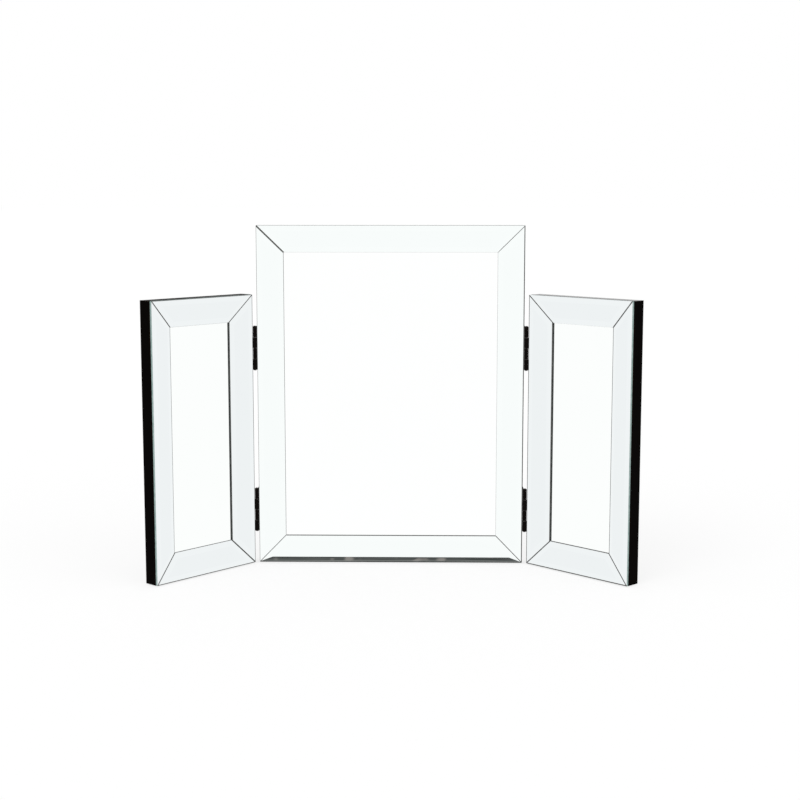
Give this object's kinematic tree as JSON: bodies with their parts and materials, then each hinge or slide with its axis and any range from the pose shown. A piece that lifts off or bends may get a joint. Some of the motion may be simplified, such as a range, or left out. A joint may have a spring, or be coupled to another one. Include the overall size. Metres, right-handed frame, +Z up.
{
  "type": "trifold vanity mirror",
  "caption": "Free-standing vanity mirror: a centre panel and two folding wings, each a flat mirror in a sloping border of bevelled mirrored strips, on black butt hinges.",
  "frame": {"origin": "on the table, at the underside of the centre panel's middle foot, midway along the centre panel and in the middle of its board's thickness", "axes": "+X to the viewer's right along the centre panel, +Y away from the viewer, from the mirrors to the back, +Z up"},
  "size_m": [0.7051, 0.1728, 0.5095],
  "materials": {
    "black_board": "satin black paint on fibreboard",
    "flat_mirror": "silvered float glass, polished",
    "bevelled_mirror": "silvered float glass with polished bevels and green edges",
    "foam_tape": "matte foam tape",
    "thin_tape": "clear matte adhesive tape",
    "felt": "black felt",
    "hinge_metal": "satin black",
    "screw_metal": "black"
  },
  "bodies": {
    "centre": {"centre_board": "black_board", "centre_mirror": "flat_mirror", "centre_mirror_tape": "foam_tape", "centre_feet": "felt", "centre_strip_bottom": "bevelled_mirror", "centre_strip_right": "bevelled_mirror", "centre_strip_top": "bevelled_mirror", "centre_strip_left": "bevelled_mirror", "centre_strip_tape": "thin_tape", "lower_left_hinge_pin": "hinge_metal", "lower_left_hinge_centre_leaf": "hinge_metal", "lower_left_hinge_centre_screws": "screw_metal", "upper_left_hinge_pin": "hinge_metal", "upper_left_hinge_centre_leaf": "hinge_metal", "upper_left_hinge_centre_screws": "screw_metal", "lower_right_hinge_pin": "hinge_metal", "lower_right_hinge_centre_leaf": "hinge_metal", "lower_right_hinge_centre_screws": "screw_metal", "upper_right_hinge_pin": "hinge_metal", "upper_right_hinge_centre_leaf": "hinge_metal", "upper_right_hinge_centre_screws": "screw_metal"},
    "left_wing": {"left_wing_board": "black_board", "left_wing_mirror": "flat_mirror", "left_wing_mirror_tape": "foam_tape", "left_wing_feet": "felt", "left_wing_strip_bottom": "bevelled_mirror", "left_wing_strip_right": "bevelled_mirror", "left_wing_strip_top": "bevelled_mirror", "left_wing_strip_left": "bevelled_mirror", "left_wing_strip_tape": "thin_tape", "lower_left_hinge_wing_leaf": "hinge_metal", "lower_left_hinge_wing_screws": "screw_metal", "upper_left_hinge_wing_leaf": "hinge_metal", "upper_left_hinge_wing_screws": "screw_metal"},
    "right_wing": {"right_wing_board": "black_board", "right_wing_mirror": "flat_mirror", "right_wing_mirror_tape": "foam_tape", "right_wing_feet": "felt", "right_wing_strip_bottom": "bevelled_mirror", "right_wing_strip_right": "bevelled_mirror", "right_wing_strip_top": "bevelled_mirror", "right_wing_strip_left": "bevelled_mirror", "right_wing_strip_tape": "thin_tape", "lower_right_hinge_wing_leaf": "hinge_metal", "lower_right_hinge_wing_screws": "screw_metal", "upper_right_hinge_wing_leaf": "hinge_metal", "upper_right_hinge_wing_screws": "screw_metal"}
  },
  "joints": [
    {"name": "left_wing_fold", "type": "hinge", "parent": "centre", "child": "left_wing", "pos_m": [-0.2019, -0.01605, 0], "axis": [0, 0, 1], "range_deg": [-54.4, 130.6]},
    {"name": "right_wing_fold", "type": "hinge", "parent": "centre", "child": "right_wing", "pos_m": [0.2019, -0.01605, 0], "axis": [0, 0, -1], "range_deg": [-50, 135]}
  ]
}
